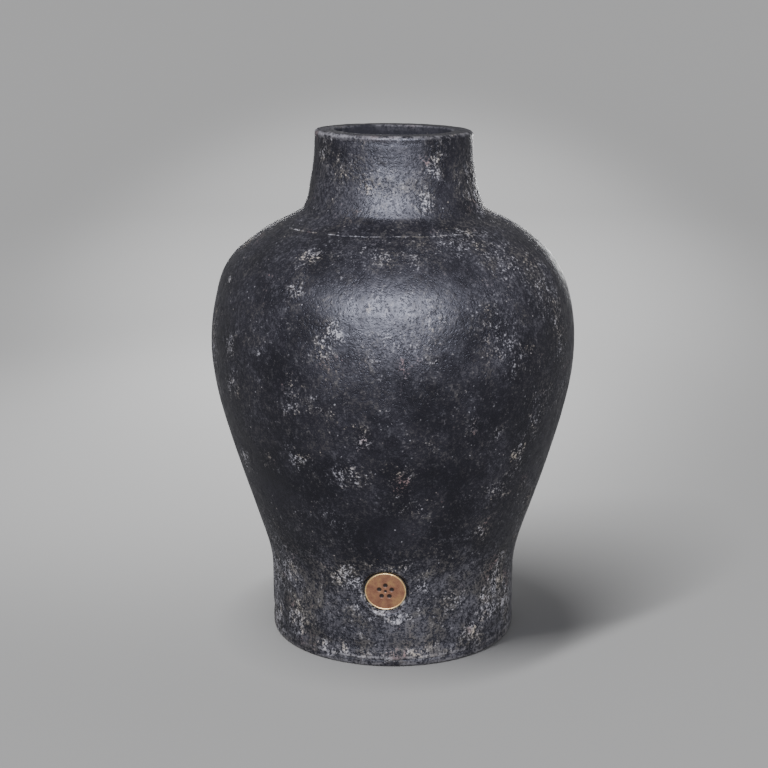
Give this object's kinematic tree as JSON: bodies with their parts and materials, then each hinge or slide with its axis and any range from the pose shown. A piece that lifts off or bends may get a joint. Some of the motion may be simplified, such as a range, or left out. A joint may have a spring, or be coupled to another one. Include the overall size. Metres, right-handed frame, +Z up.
{
  "type": "sake jar",
  "caption": "Wide-mouthed stoneware jar with a round shoulder, tapering belly, straight foot and short flared neck, and a small round metal badge let into the foot.",
  "frame": {"origin": "on the jar's axis, in the plane of the foot ring that it stands on", "axes": "+Z up along the jar's axis through the mouth; -Y towards the front, where the badge is; +X to the right as seen from the front"},
  "size_m": [0.2276, 0.2276, 0.32],
  "materials": {
    "black_clay": "waxed satin black clay, finely pitted, with chalky grey residue left in the pits",
    "slip": "matte dry slip, a little paler than the clay",
    "clear_glue": "clear two-part glue, glossy",
    "brass": "polished brass edge, slightly worn",
    "copper": "brown antique copper, brushed, dark in the struck dimples"
  },
  "bodies": {
    "root": {"foot_section": "black_clay", "foot_slip_joint": "slip", "belly_section": "black_clay", "shoulder_slip_joint": "slip", "neck_section": "black_clay", "badge_glue": "clear_glue", "badge_cup": "brass", "badge_inlay": "copper"}
  },
  "joints": []
}
